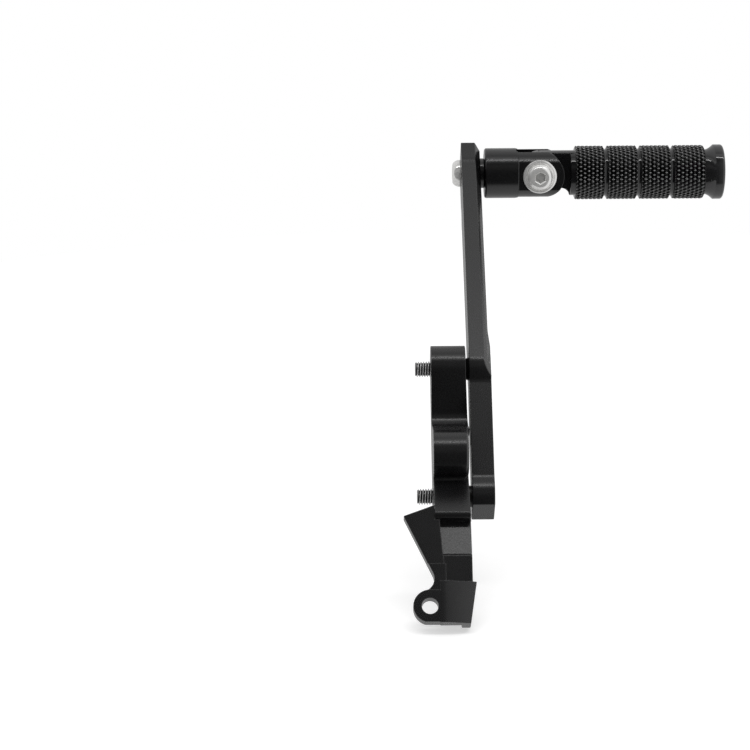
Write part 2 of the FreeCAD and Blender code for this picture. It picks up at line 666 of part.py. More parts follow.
def barrel_outline():
    """Lathe outline of collar and barrel, with a narrow groove between each two bands."""
    outline = [(collar_x, 0), (collar_x, collar_radius), (barrel_x, collar_radius)]
    other_band = (barrel_length - first_band_length) / (band_count - 1)
    end = barrel_x
    for index in range(band_count):
        start = end
        end = start + (other_band if index else first_band_length)
        left = start + (groove_width / 2 if index else 0)
        right = end - (groove_width / 2 if index < band_count - 1 else 0)
        outline += [(left, barrel_radius - band_edge_break), (left + band_edge_break, barrel_radius),
                    (right - band_edge_break, barrel_radius), (right, barrel_radius - band_edge_break)]
        if index < band_count - 1:
            outline.append((end, barrel_radius - groove_depth))
    return outline + [(barrel_end_x, 0)]


def peg_barrel():
    piece = fuse(revolve_x(barrel_outline()), tongue())
    piece = piece.cut(Part.makeCylinder(m8_tapped_radius, 2 * LONG, Vector(pivot_x, -LONG, 0), Y_AXIS))
    piece = piece.cut(disc_x(0, 0, barrel_bore_radius, barrel_end_x - barrel_bore_depth, barrel_end_x + 1))
    piece = piece.cut(disc_x(0, 0, screw_bore_radius, barrel_end_x - screw_bore_depth, barrel_end_x))
    return at_peg(piece)


def end_cap():
    """Flared cap with a spigot in the barrel's bore and a counterbored screw hole."""
    x0 = barrel_end_x
    neck_x = x0 + cap_neck_length
    rim_x = neck_x + cap_flare_length
    end_x = rim_x + cap_rim_length
    small, large = cap_rim_edge * 0.3, cap_rim_edge
    cap = revolve_x([(x0 - cap_spigot_length, 0), (x0 - cap_spigot_length, cap_spigot_radius),
                     (x0, cap_spigot_radius), (x0, cap_neck_radius), (neck_x, cap_neck_radius),
                     (rim_x, cap_rim_radius), (end_x - large, cap_rim_radius),
                     (end_x - small, cap_rim_radius - small), (end_x, cap_rim_radius - large), (end_x, 0)])
    cap = cap.cut(disc_x(0, 0, cap_screw_hole_radius, x0 - cap_spigot_length - 1, end_x + 1))
    cap = cap.cut(disc_x(0, 0, cap_counterbore_radius, end_x - cap_counterbore_depth, end_x + 1))
    return at_peg(cap)


def end_cap_screw():
    """Socket head screw in the cap's counterbore."""
    seat_x = barrel_end_x + cap_neck_length + cap_flare_length + cap_rim_length - cap_counterbore_depth
    top_x = seat_x + cap_screw_head_height
    tip_x = seat_x - cap_screw_length
    screw = revolve_x([(tip_x, 0), (tip_x, cap_screw_radius - 0.6), (tip_x + 0.6, cap_screw_radius),
                       (seat_x, cap_screw_radius), (seat_x, cap_screw_head_radius),
                       (top_x - 0.5, cap_screw_head_radius), (top_x, cap_screw_head_radius - 0.5), (top_x, 0)])
    return at_peg(screw.cut(hexagon_x(cap_screw_socket_across, top_x - hex_socket_depth, top_x + 1)))


def build():
    nut, ring = nut_and_insert()
    return {
        "mounting_bracket": mounting_bracket(),
        "arm_plate": arm_plate(),
        "upper_bracket_bolt": bracket_bolt(0),
        "lower_bracket_bolt": bracket_bolt(-bolt_spacing),
        "upper_spacer": spacer(0, bracket_thickness, upper_spacer_radius, upper_spacer_flare),
        "lower_spacer": spacer(-bolt_spacing, bracket_thickness, lower_spacer_radius, lower_spacer_radius),
        "clevis_bolt": clevis_bolt(),
        "clevis_washer": clevis_washer(),
        "clevis": clevis(),
        "pivot_bolt": pivot_bolt(),
        "pivot_nut": nut,
        "nut_insert": ring,
        "peg_barrel": peg_barrel(),
        "end_cap": end_cap(),
        "end_cap_screw": end_cap_screw(),
    }


half_spacing = leaned(Part.Vertex(Vector(0, 0, bolt_spacing / 2)), bracket_lean_deg).Point
os.makedirs("parts", exist_ok=True)
for name, shape in build().items():
    shape.translate(half_spacing)
    shape.exportStep("parts/" + name + ".step")
    print(name, len(shape.Solids), round(shape.Volume, 1), shape.isValid())
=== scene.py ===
"""Looks of the right-hand folding footpeg: knurl, threads, edge breaks, finishes, light and camera."""
import math

import bmesh
import bpy
import numpy as np
from mathutils import Matrix, Vector
from mathutils.bvhtree import BVHTree


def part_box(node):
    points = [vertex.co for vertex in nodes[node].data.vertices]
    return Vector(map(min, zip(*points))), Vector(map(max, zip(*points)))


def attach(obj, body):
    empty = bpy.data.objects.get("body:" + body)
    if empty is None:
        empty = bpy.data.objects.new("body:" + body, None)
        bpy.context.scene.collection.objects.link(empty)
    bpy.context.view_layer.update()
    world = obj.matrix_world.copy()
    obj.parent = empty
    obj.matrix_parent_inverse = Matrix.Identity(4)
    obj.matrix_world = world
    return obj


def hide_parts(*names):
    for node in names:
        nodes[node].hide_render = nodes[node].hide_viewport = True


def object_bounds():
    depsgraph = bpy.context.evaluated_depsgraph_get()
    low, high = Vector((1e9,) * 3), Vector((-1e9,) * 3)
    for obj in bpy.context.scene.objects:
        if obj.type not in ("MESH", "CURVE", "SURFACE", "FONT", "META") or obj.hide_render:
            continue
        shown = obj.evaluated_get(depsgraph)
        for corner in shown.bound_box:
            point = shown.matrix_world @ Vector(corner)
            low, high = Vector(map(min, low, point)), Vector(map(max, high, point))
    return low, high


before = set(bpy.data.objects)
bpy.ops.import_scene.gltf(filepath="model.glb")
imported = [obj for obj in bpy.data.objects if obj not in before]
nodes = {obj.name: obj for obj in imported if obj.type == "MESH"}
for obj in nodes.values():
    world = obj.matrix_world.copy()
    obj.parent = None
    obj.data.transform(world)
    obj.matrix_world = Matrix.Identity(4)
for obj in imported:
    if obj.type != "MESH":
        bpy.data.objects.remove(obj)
cad_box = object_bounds()

# Sizes are in millimetres, and MM turns them into the frame's metres
MM = 0.001

# The bracket's bolts stand half their spacing either side of the origin
BRACKET_LEAN = math.radians(38.0)
BOLT_SPACING = 66.0
HALF = Vector((0, BOLT_SPACING / 2 * math.sin(BRACKET_LEAN),
               BOLT_SPACING / 2 * math.cos(BRACKET_LEAN))) * MM

# Places taken from the frame
barrel_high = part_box("peg_barrel")[1]
cap_low, cap_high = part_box("end_cap")
arm_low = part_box("arm_plate")[0]
pivot_low, pivot_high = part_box("pivot_bolt")
PEG_Y = (cap_low.y + cap_high.y) / 2
PEG_Z = (cap_low.z + cap_high.z) / 2
AT_PEG = Matrix.Translation((0, PEG_Y, PEG_Z))

# The barrel's banded length, and the radii of its knurl
BANDED_LENGTH = 67.3
BANDS_END = barrel_high.x / MM
BANDS_START = BANDS_END - BANDED_LENGTH
KNURL_TOP = 14.0
KNURL_FLOOR = 13.0

# All M8 shanks, and the studs' thread along X from the free end to just inside the bracket
SHANK_RADIUS = 4.0
THREAD_TIP = -7.7
THREAD_ROOT = 0.6
THREAD_PITCH = 1.25
THREAD_DEPTH = 0.95
CORE_TIP = -7.2
CORE_RADIUS = 2.6


# Shader nodes
def new_material(name):
    mat = bpy.data.materials.new(name)
    mat.use_nodes = True
    tree = mat.node_tree
    return mat, tree, tree.nodes["Principled BSDF"]


def link(tree, a, b):
    tree.links.new(a, b)


def feed(tree, socket, value):
    """Links another node's output to a socket, or sets a number or colour on it."""
    if isinstance(value, bpy.types.NodeSocket):
        link(tree, value, socket)
    else:
        socket.default_value = value


def object_coords(tree):
    return tree.nodes.new("ShaderNodeTexCoord").outputs["Object"]


def x_of(tree, vector):
    node = tree.nodes.new("ShaderNodeSeparateXYZ")
    link(tree, vector, node.inputs[0])
    return node.outputs["X"]


def noise(tree, coords, scale, detail, rough):
    node = tree.nodes.new("ShaderNodeTexNoise")
    node.inputs["Scale"].default_value = scale
    node.inputs["Detail"].default_value = detail
    node.inputs["Roughness"].default_value = rough
    link(tree, coords, node.inputs["Vector"])
    return node.outputs["Fac"]


def ramp(tree, value, stops):
    """Colour along (place, colour) stops, where a single number is a grey."""
    node = tree.nodes.new("ShaderNodeValToRGB")
    elements = node.color_ramp.elements
    while len(elements) < len(stops):
        elements.new(0.5)
    for element, (place, colour) in zip(elements, stops):
        element.position = place
        element.color = (*colour, 1.0) if isinstance(colour, tuple) else (colour, colour, colour, 1.0)
    link(tree, value, node.inputs["Fac"])
    return node.outputs["Color"]


def map_range(tree, value, low, high, start=0.0, end=1.0):
    """Low up to the start, high from the end on, and a straight line between."""
    node = tree.nodes.new("ShaderNodeMapRange")
    node.inputs["From Min"].default_value = start
    node.inputs["From Max"].default_value = end
    node.inputs["To Min"].default_value = low
    node.inputs["To Max"].default_value = high
    link(tree, value, node.inputs["Value"])
    return node.outputs["Result"]


def math_node(tree, operation, *values):
    node = tree.nodes.new("ShaderNodeMath")
    node.operation = operation
    for socket, value in zip(node.inputs, values):
        feed(tree, socket, value)
    return node.outputs["Value"]


def vector_node(tree, operation, output, *values):
    node = tree.nodes.new("ShaderNodeVectorMath")
    node.operation = operation
    for socket, value in zip(node.inputs, values):
        feed(tree, socket, value)
    return node.outputs[output]


def mix(tree, share, first, second):
    """Blend of two colours."""
    node = tree.nodes.new("ShaderNodeMix")
    node.data_type = "RGBA"
    for socket, value in ((node.inputs["Factor"], share), (node.inputs[6], first), (node.inputs[7], second)):
        feed(tree, socket, value)
    return node.outputs[2]


def bump(tree, height, strength, distance, normal=None):
    node = tree.nodes.new("ShaderNodeBump")
    node.inputs["Strength"].default_value = strength
    node.inputs["Distance"].default_value = distance
    link(tree, height, node.inputs["Height"])
    if normal is not None:
        link(tree, normal, node.inputs["Normal"])
    return node.outputs["Normal"]


def share_of_radius(tree, y, z, low, high, most):
    """0 to a share between two radii about an axis along X."""
    offset = vector_node(tree, "MULTIPLY_ADD", "Vector", object_coords(tree), (0, 1, 1), (0, -y, -z))
    radius = vector_node(tree, "LENGTH", "Value", offset)
    return map_range(tree, radius, 0.0, most, low * MM, high * MM)


# Materials: the dyed skin's colour and refraction, depths of fine relief, and tool marks' scale by axis
DYE = (0.0034, 0.0034, 0.0037)
DYE_INDEX = 1.7
SKIN_RELIEF = 0.02 * MM
PLATE_RELIEF = 0.01 * MM
MILLING_MARKS = (120.0, 2600.0, 2600.0)
TURNING_MARKS = (5200.0, 60.0, 60.0)


def anodised(name, rough, grain, tint=DYE, marks=None):
    """Black anodised aluminium: a dyed oxide skin with fine grain and faint tool marks."""
    mat, tree, shader = new_material(name)
    coords = object_coords(tree)
    if tint:
        patches = noise(tree, coords, 70.0, 4.0, 0.6)
        shades = [(0.3, tuple(c * 0.7 for c in tint)), (0.7, tuple(c * 1.45 for c in tint))]
        link(tree, ramp(tree, patches, shades), shader.inputs["Base Color"])
    fine = noise(tree, coords, 2600.0, 2.0, 0.6)
    link(tree, map_range(tree, fine, rough - 0.03, rough + 0.03), shader.inputs["Roughness"])
    normal = bump(tree, fine, grain, SKIN_RELIEF)
    if marks:
        stretched = tree.nodes.new("ShaderNodeMapping")
        stretched.inputs["Scale"].default_value = marks
        link(tree, coords, stretched.inputs["Vector"])
        lines = noise(tree, stretched.outputs["Vector"], 1.0, 2.0, 0.5)
        normal = bump(tree, lines, 0.06, SKIN_RELIEF, normal)
    link(tree, normal, shader.inputs["Normal"])
    shader.inputs["IOR"].default_value = DYE_INDEX
    return mat


def knurled(name):
    """Black anodised knurl: bare metal shows on its tips, where boots rub the black off."""
    mat = anodised(name, 0.10, 0.0, None)
    tree = mat.node_tree
    shader = tree.nodes["Principled BSDF"]
    rubbed = share_of_radius(tree, PEG_Y, PEG_Z, 13.72, KNURL_TOP, 0.35)
    link(tree, rubbed, shader.inputs["Metallic"])
    shades = [(0.0, (0.001, 0.001, 0.0011)), (1.0, 0.8)]
    link(tree, ramp(tree, rubbed, shades), shader.inputs["Base Color"])
    return mat


def steel(name, rough, metallic, tint=None):
    """Bright zinc plate: part mirror, part matt, with faint clouding and fine scratches."""
    mat, tree, shader = new_material(name)
    coords = object_coords(tree)
    clouds = noise(tree, coords, 420.0, 4.0, 0.6)
    if tint:
        shades = [(0.3, tuple(c * 0.86 for c in tint)), (0.7, tint)]
        link(tree, ramp(tree, clouds, shades), shader.inputs["Base Color"])
    link(tree, map_range(tree, clouds, rough - 0.05, rough + 0.07), shader.inputs["Roughness"])
    scratches = noise(tree, coords, 3200.0, 2.0, 0.6)
    link(tree, bump(tree, scratches, 0.06, PLATE_RELIEF), shader.inputs["Normal"])
    shader.inputs["Metallic"].default_value = metallic
    return mat


def threaded(name, centre):
    """Plated bolt with painted shade: the roots of its thread, from the bracket's face to the free end, are
    coloured near black.
    """
    shade_middle = -3.3
    shade_half_length = 4.3
    mat = steel(name, 0.12, 0.68)
    tree = mat.node_tree
    crest = share_of_radius(tree, centre.y, centre.z, 3.2, 3.85, 1.0)
    along = math_node(tree, "ADD", x_of(tree, object_coords(tree)), -shade_middle * MM)
    beyond = math_node(tree, "GREATER_THAN", math_node(tree, "ABSOLUTE", along), shade_half_length * MM)
    unshaded = math_node(tree, "MAXIMUM", crest, beyond)
    # Painted shade: thread roots on the threaded stretch go near black, while crests and the rest stay
    # plated grey
    shades = [(0.0, 0.04), (1.0, 0.92)]
    link(tree, ramp(tree, unshaded, shades), tree.nodes["Principled BSDF"].inputs["Base Color"])
    return mat


def nylon(name):
    """Natural nylon, faintly mottled."""
    mat, tree, shader = new_material(name)
    mottle = noise(tree, object_coords(tree), 900.0, 3.0, 0.5)
    shades = [(0.3, (0.66, 0.65, 0.60)), (0.7, (0.74, 0.73, 0.69))]
    link(tree, ramp(tree, mottle, shades), shader.inputs["Base Color"])
    link(tree, bump(tree, mottle, 0.1, SKIN_RELIEF), shader.inputs["Normal"])
    shader.inputs["Roughness"].default_value = 0.45
    return mat


MILLED = anodised("milled_black", 0.27, 0.015, marks=MILLING_MARKS)
TURNED = anodised("turned_black", 0.08, 0.01, marks=TURNING_MARKS)
CAPPED = anodised("cap_black", 0.08, 0.01, (0.013, 0.013, 0.0135), TURNING_MARKS)
LATHED = anodised("lathed_black", 0.23, 0.03, marks=TURNING_MARKS)
KNURLED = knurled("knurled_black")
SPACER = anodised("spacer_black", 0.36, 0.15, (0.006, 0.006, 0.006))
PLATED = steel("plated_steel", 0.08, 0.6, (0.95, 0.945, 0.93))
NYLON = nylon("nylon_ring")


# Mesh helpers
def add_piece(name, bm, material, body, replaced, smooth_deg=32.0, weighted=False):
    """Makes an object of the mesh that rides on a body, in place of a CAD node where one is named."""
    bmesh.ops.recalc_face_normals(bm, faces=bm.faces)
    mesh = bpy.data.meshes.new(name)
    bm.to_mesh(mesh)
    bm.free()
    for polygon in mesh.polygons:
        polygon.use_smooth = True
    mesh.set_sharp_from_angle(angle=math.radians(smooth_deg))
    mesh.materials.append(material)
    obj = bpy.data.objects.new(name, mesh)
    bpy.context.scene.collection.objects.link(obj)
    if weighted:
        modifier = obj.modifiers.new("flat faces first", "WEIGHTED_NORMAL")
        modifier.keep_sharp = True
        modifier.weight = 60
    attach(obj, body)
    if replaced:
        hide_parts(replaced)


def cad_copy(node):
    """The welded mesh of a CAD node, with its flat faces whole."""
    bm = bmesh.new()
    bm.from_mesh(nodes[node].data)
    bmesh.ops.remove_doubles(bm, verts=bm.verts, dist=2e-6)
    bmesh.ops.dissolve_limit(bm, angle_limit=math.radians(0.4), verts=bm.verts, edges=bm.edges)
    return bm


def middle(edge):
    return (edge.verts[0].co + edge.verts[1].co) / 2


def break_edges(bm, width, keep=None, angle_deg=28.0):
    """Bevels the sharp edges, or those of them that keep() picks, and draws back verts that overshoot."""
    sharp = []
    for edge in bm.edges:
        if len(edge.link_faces) != 2 or edge.calc_face_angle() < math.radians(angle_deg):
            continue
        if keep is None or keep(edge):
            sharp.append(edge)
    solid = BVHTree.FromBMesh(bm)
    bmesh.ops.bevel(bm, geom=sharp, offset=width * MM, segments=2, profile=0.5, affect="EDGES",
                    clamp_overlap=False, loop_slide=True)
    for vert in bm.verts:
        nearest, _, _, distance = solid.find_nearest(vert.co)
        if distance > width * MM * 0.6:
            vert.co = nearest


def radius_of(vert, y, z):
    return math.hypot(vert.co.y - y, vert.co.z - z)


def draw_in(vert, y, z, radius):
    """Moves a vert straight in to a radius about an axis along X."""
    offset = Vector((0, vert.co.y - y, vert.co.z - z))
    offset *= radius / offset.length
    vert.co.y = y + offset.y
    vert.co.z = z + offset.z


def on_circle(x, r, angle):
    """Point about X, from sizes in mm."""
    return Vector((x * MM, r * MM * math.cos(angle), r * MM * math.sin(angle)))


def join_rings(bm, low, high):
    """Faces between two rings of verts, either of which may be a single one on the axis."""
    count = max(len(low), len(high))
    for k in range(count):
        n = (k + 1) % count
        if len(low) == 1:
            bm.faces.new((low[0], high[k], high[n]))
        elif len(high) == 1:
            bm.faces.new((low[k], low[n], high[0]))
        else:
            bm.faces.new((low[k], low[n], high[n], high[k]))


def lathe(bm, outline, segments, matrix):
    """Adds a solid of revolution about X from (x, r) points in mm that start and end on the axis."""
    rings = []
    for x, r in outline:
        count = segments if r else 1
        rings.append([bm.verts.new(matrix @ on_circle(x, r, 2 * math.pi * k / count)) for k in range(count)])
    for low, high in zip(rings, rings[1:]):
        join_rings(bm, low, high)


def arc(x0, r0, x1, r1, bulge, steps):
    """Points between two (x, r) ends on a curve that bulges out of their chord, ends left out."""
    points = []
    dx, dr = x1 - x0, r1 - r0
    length = math.hypot(dx, dr)
    nx, nr = -dr / length, dx / length
    for k in range(1, steps):
        t = k / steps
        h = bulge * 4 * t * (1 - t)
        points.append((x0 + dx * t + nx * h, r0 + dr * t + nr * h))
    return points


def quarter(x0, r0, x1, r1, steps):
    """Quarter ellipse from (x0, r0) to (x1, r1): leaves along x and arrives along r."""
    points = []
    for k in range(steps + 1):
        a = math.pi / 2 * k / steps
        points.append((x0 + (x1 - x0) * math.sin(a), r1 + (r0 - r1) * math.cos(a)))
    return points


def cut(bm, cutter):
    """Boolean difference of two closed meshes."""
    made = []
    for part in (bm, cutter):
        bmesh.ops.recalc_face_normals(part, faces=part.faces)
        mesh = bpy.data.meshes.new("cutting")
        part.to_mesh(mesh)
        part.free()
        obj = bpy.data.objects.new("cutting", mesh)
        bpy.context.scene.collection.objects.link(obj)
        made.append(obj)
    modifier = made[0].modifiers.new("cut", "BOOLEAN")
    modifier.operation = "DIFFERENCE"
    modifier.solver = "EXACT"
    modifier.object = made[1]
    bpy.context.view_layer.update()
    result = made[0].evaluated_get(bpy.context.evaluated_depsgraph_get())
    out = bmesh.new()
    out.from_mesh(result.to_mesh())
    result.to_mesh_clear()
    for obj in made:
        bpy.data.objects.remove(obj)
    return out


def hex_prism(corner, x0, x1, matrix):
    """Six-sided prism along X, given by its corners' radius."""
    bm = bmesh.new()
    ends = []
    for x in (x0, x1):
        ends.append([bm.verts.new(matrix @ on_circle(x, corner, math.radians(60 * k))) for k in range(6)])
    bm.faces.new(ends[0])
    bm.faces.new(list(reversed(ends[1])))
    for k in range(6):
        n = (k + 1) % 6
        bm.faces.new((ends[0][k], ends[1][k], ends[1][n], ends[0][n]))
    return bm


# Milled pieces
EDGE_BREAK = 0.35
ARM_LEAN = math.radians(50.0)
ARM_HALF_WIDTH = 11.3 * MM
ARM_BEVEL_LENGTH = 60 * MM
WING_SET_BACK = 1.6 * MM
WING_REACH = 45 * MM
WING_ALONG = (-50 * MM, 30 * MM)


def milled(node, body, width, material=MILLED, keep=None, smooth_deg=32.0, cutter=None):
    """The CAD piece less what a cutter takes away, with its edges broken."""
    bm = cad_copy(node)
    if cutter:
        bm = cut(bm, cutter)
    break_edges(bm, width, keep)
    add_piece(node + "_finished", bm, material, body, node, smooth_deg, True)


def not_rolled_over(edge):
    """False for the long edge where the arm's large bevel rolls over into its outer side."""
    if edge.calc_length() <= ARM_BEVEL_LENGTH:
        return True
    return not math.radians(35) < edge.calc_face_angle() < math.radians(45)


def wing_step():
    """Box that takes the wing's inner side back from the upper bar's."""
    along = Vector((0, math.sin(ARM_LEAN), math.cos(ARM_LEAN)))
    back = Vector((0, math.cos(ARM_LEAN), -math.sin(ARM_LEAN)))
    bm = bmesh.new()
    for x in (arm_low.x - 1 * MM, arm_low.x + WING_SET_BACK):
        for s in WING_ALONG:
            for t in (ARM_HALF_WIDTH, WING_REACH):
                bm.verts.new(Vector((x, PEG_Y, PEG_Z)) + along * s + back * t)
    bmesh.ops.convex_hull(bm, input=bm.verts)
    return bm


milled("mounting_bracket", "mount", EDGE_BREAK)
milled("arm_plate", "mount", EDGE_BREAK, MILLED, not_rolled_over, 46.0, wing_step())
milled("clevis", "fork", EDGE_BREAK, LATHED)
milled("clevis_washer", "mount", 0.2, LATHED)


# Peg
KNURL_STEP_X = 4.22
KNURL_COUNT = 38
STEPS_PER_NUB = 10
NUB_SLOPE = 0.8
GROOVE = 1.5
BANDS = 4
BAND_COLUMNS = 72
BAND_BORE = 12.4
BAND_CHAMFER = 0.55
CHAMFER_FOOT = KNURL_FLOOR - 0.25
BAR_RADIUS = KNURL_FLOOR - 0.15
FIRST_BAND = 15.8
OTHER_BAND = (BANDS_END - BANDS_START - FIRST_BAND) / (BANDS - 1)


def knurl_height(x, angle):
    """Height of the diamond nubs: 0 on the floor, and 0.95 in the middle of a nub's flattened top."""
    turn = angle * KNURL_COUNT / (2 * math.pi)
    a = x / KNURL_STEP_X + turn
    b = x / KNURL_STEP_X - turn
    da = np.abs((a % 1.0) - 0.5) * 2
    db = np.abs((b % 1.0) - 0.5) * 2
    wall = 1.0 - np.maximum(da, db)
    crown = np.clip(wall / NUB_SLOPE, 0, 1)
    return crown - 0.05 * crown ** 8


def peg_ring(bm, x, radii, angles):
    return [bm.verts.new((x * MM, PEG_Y + r * MM * math.cos(t), PEG_Z + r * MM * math.sin(t)))
            for r, t in zip(radii, angles)]


def knurl_band(index):
    """Closed ring of diamond nubs, chamfered at both ends, that stands on the barrel's floor."""
    low = BANDS_START + (FIRST_BAND + (index - 1) * OTHER_BAND if index else 0.0)
    high = low + (OTHER_BAND if index else FIRST_BAND)
    start = low + (GROOVE / 2 if index else 0.0)
    end = high - (GROOVE / 2 if index < BANDS - 1 else 0.0)
    around = KNURL_COUNT * STEPS_PER_NUB
    angles = 2 * math.pi * np.arange(around) / around
    bm = bmesh.new()
    rows = []
    for x in np.linspace(start, end, BAND_COLUMNS):
        radii = KNURL_FLOOR + (KNURL_TOP - KNURL_FLOOR) * knurl_height(np.full(around, x), angles)
        rise = min(1.0, min(x - start, end - x) / BAND_CHAMFER)
        limit = CHAMFER_FOOT + (KNURL_TOP - CHAMFER_FOOT) * rise
        rows.append(peg_ring(bm, x, np.minimum(radii, limit), angles))
    bore = np.full(around, BAND_BORE)
    last = peg_ring(bm, end, bore, angles)
    first = peg_ring(bm, start, bore, angles)
    rows = [first, *rows, last]
    for low_row, high_row in zip(rows, rows[1:] + rows[:1]):
        join_rings(bm, low_row, high_row)
    add_piece(f"knurl_band_{index + 1}", bm, KNURLED, "peg", None, 50.0)


def peg_bar():
    """The peg's bar without its knurl: the CAD solid with its bands taken down below the knurl's floor."""
    tongue_tip = 49 * MM
    bands_face = (BANDS_START + 0.02) * MM
    bm = cad_copy("peg_barrel")
    for vert in bm.verts:
        if vert.co.x > bands_face and radius_of(vert, PEG_Y, PEG_Z) > BAR_RADIUS * MM:
            draw_in(vert, PEG_Y, PEG_Z, BAR_RADIUS * MM)
    break_edges(bm, 0.3, lambda edge: tongue_tip < middle(edge).x < bands_face)
    add_piece("peg_bar", bm, TURNED, "peg", "peg_barrel")


def end_cap():
    """Turned cap: a spigot, a neck that flares out to the rim, and a hollow for its screw's head."""
    spigot, neck, flare, rim, hollow = 6.0, 11.7, 13.95, 14.2, 5.3
    start = BANDS_END
    end = cap_high.x / MM
    outline = [(start - 11, 0), (start - 11, spigot), (start + 0.02, spigot), (start + 0.02, 11.5),
               (start + 0.2, neck), (start + 1.3, neck)]
    outline += arc(start + 1.3, neck, start + 4.8, flare, -0.25, 6)
    outline += [(start + 4.8, flare), (start + 5.1, rim)]
    outline += quarter(end - 1.3, rim, end, 12.9, 6)
    outline += [(end, 5.6), (end - 0.3, hollow), (end - 6.3, hollow), (end - 6.3, 0)]
    bm = bmesh.new()
    lathe(bm, outline, 128, AT_PEG)
    add_piece("end_cap_turned", bm, CAPPED, "peg", "end_cap")


peg_bar()
for band in range(BANDS):
    knurl_band(band)
end_cap()
nodes["end_cap_screw"].data.materials[0] = PLATED


# Fasteners
SOCKET_ACROSS = 5.0
SOCKET_DEPTH = 3.0
SOCKET_MOUTH = 0.6
TIP_CHAMFER = 0.9
PIVOT_HEAD = 4.4
CLEVIS_HEAD = 4.4
CREST_FLAT = 0.12
FLANK = 0.66


def thread(bm, matrix, around=64, per_pitch=12):
    """Adds a threaded rod about X with a chamfered free end."""
    length = THREAD_ROOT - THREAD_TIP
    count = int(round(length / THREAD_PITCH * per_pitch)) + 1
    rows = []
    for i in range(count):
        x = THREAD_TIP + length * i / (count - 1)
        chamfer = SHANK_RADIUS - THREAD_DEPTH + (x - THREAD_TIP)
        row = []
        for k in range(around):
            turn = k / around
            phase = (x / THREAD_PITCH + turn) % 1.0
            wave = abs(phase - 0.5) * 2
            wave = min(1.0, max(0.0, (wave - CREST_FLAT) / FLANK))
            r = min(SHANK_RADIUS - THREAD_DEPTH * wave, chamfer)
            row.append(bm.verts.new(matrix @ on_circle(x, r, 2 * math.pi * turn)))
        rows.append(row)
    for low, high in zip(rows, rows[1:]):
        join_rings(bm, low, high)
    bm.faces.new(rows[0])
    bm.faces.new(list(reversed(rows[-1])))


def bracket_bolt(node, centre):
    """The CAD bolt with its free end slimmed to the thread's core, and the thread's ridges on it."""
    near = 0.01 * MM
    bm = cad_copy(node)
    for vert in bm.verts:
        radius = radius_of(vert, centre.y, centre.z)
        stud_rim = vert.co.x < near and radius > 3.85 * MM
        if (vert.co.x < -near or stud_rim) and radius > CORE_RADIUS * MM:
            draw_in(vert, centre.y, centre.z, CORE_RADIUS * MM)
            vert.co.x = max(vert.co.x, CORE_TIP * MM)
    break_edges(bm, 0.18, lambda edge: middle(edge).x > 20 * MM)
    thread(bm, Matrix.Translation(centre))
    material = threaded(node + "_steel", centre)
    add_piece(node + "_threaded", bm, material, "mount", node, 40.0)


def socket_cut(bm, crown, matrix):
    """Hex socket with a chamfered mouth in a head that faces -X."""
    corner = SOCKET_ACROSS / math.sqrt(3)
    corner_up = matrix @ Matrix.Rotation(math.radians(30), 4, "X")
    bm = cut(bm, hex_prism(corner, crown - 1, crown + SOCKET_DEPTH, corner_up))
    mouth = bmesh.new()
    lathe(mouth, [(crown - 1, 0), (crown - 1, corner + 1.7), (crown + SOCKET_MOUTH, corner - 0.05),
                  (crown + SOCKET_MOUTH, 0)], 6, corner_up)
    return cut(bm, mouth)


def dome(crown, crown_radius, rim, rim_radius, steps):
    """Outline of a domed head from its axis to its rim, with a flat crown."""
    return [(crown, 0)] + quarter(rim, rim_radius, crown, crown_radius, steps)[::-1]


def shank_tip(end):
    """Outline of a shank's chamfered end, down to its axis."""
    return [(end - TIP_CHAMFER, SHANK_RADIUS), (end, SHANK_RADIUS - TIP_CHAMFER), (end, 0)]


def clevis_bolt():
    """Button head bolt through the arm's head, its head on the frame's side."""
    seat = arm_low.x / MM
    crown = seat - CLEVIS_HEAD
    outline = dome(crown, 4.3, seat - 0.5, 7.0, 9)
    outline += [(seat, 6.8), (seat + 0.01, SHANK_RADIUS)] + shank_tip(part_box("clevis_bolt")[1].x / MM)
    bm = bmesh.new()
    lathe(bm, outline, 96, AT_PEG)
    bm = socket_cut(bm, crown, AT_PEG)
    add_piece("clevis_bolt_domed", bm, PLATED, "mount", "clevis_bolt", 30.0)


def pivot_bolt():
    """Button head bolt with a rounded flange, along Y through the fork."""
    seat = pivot_low.y / MM + PIVOT_HEAD
    pivot_x = (pivot_low.x + pivot_high.x) / 2
    place = Matrix.Translation((pivot_x, seat * MM, PEG_Z)) @ Matrix.Rotation(math.radians(90), 4, "Z")
    outline = dome(-PIVOT_HEAD, 4.2, -0.8, 6.75, 10)
    outline += [(-0.7, 6.95), (-1.1, 7.55), (-1.05, 8.2), (-0.8, 8.6), (-0.45, 8.75), (-0.1, 8.6), (0, 8.4)]
    outline += [(0.0, SHANK_RADIUS)] + shank_tip(pivot_high.y / MM - seat)
    bm = bmesh.new()
    lathe(bm, outline, 112, place)
    bm = socket_cut(bm, -PIVOT_HEAD, place)
    add_piece("pivot_bolt_flanged", bm, PLATED, "fork", "pivot_bolt", 30.0)


def pivot_nut():
    bm = cad_copy("pivot_nut")
    break_edges(bm, 0.15, angle_deg=25.0)
    add_piece("pivot_nut_plated", bm, PLATED, "fork", "pivot_nut", 30.0)


bracket_bolt("upper_bracket_bolt", HALF)
bracket_bolt("lower_bracket_bolt", -HALF)
clevis_bolt()
pivot_bolt()
pivot_nut()
nodes["nut_insert"].data.materials[0] = NYLON
for name in ("upper_spacer", "lower_spacer"):
    nodes[name].data.materials[0] = SPACER


# Stage
TILT = math.radians(16.3)
ROLL = math.radians(0.35)
YAW = math.radians(0.25)
ACROSS = Vector((math.cos(YAW), -math.sin(YAW), 0))
TO_CAMERA = Vector((-math.cos(TILT) * math.sin(YAW), -math.cos(TILT) * math.cos(YAW), math.sin(TILT)))
VIEW_UP = TO_CAMERA.cross(ACROSS).normalized()

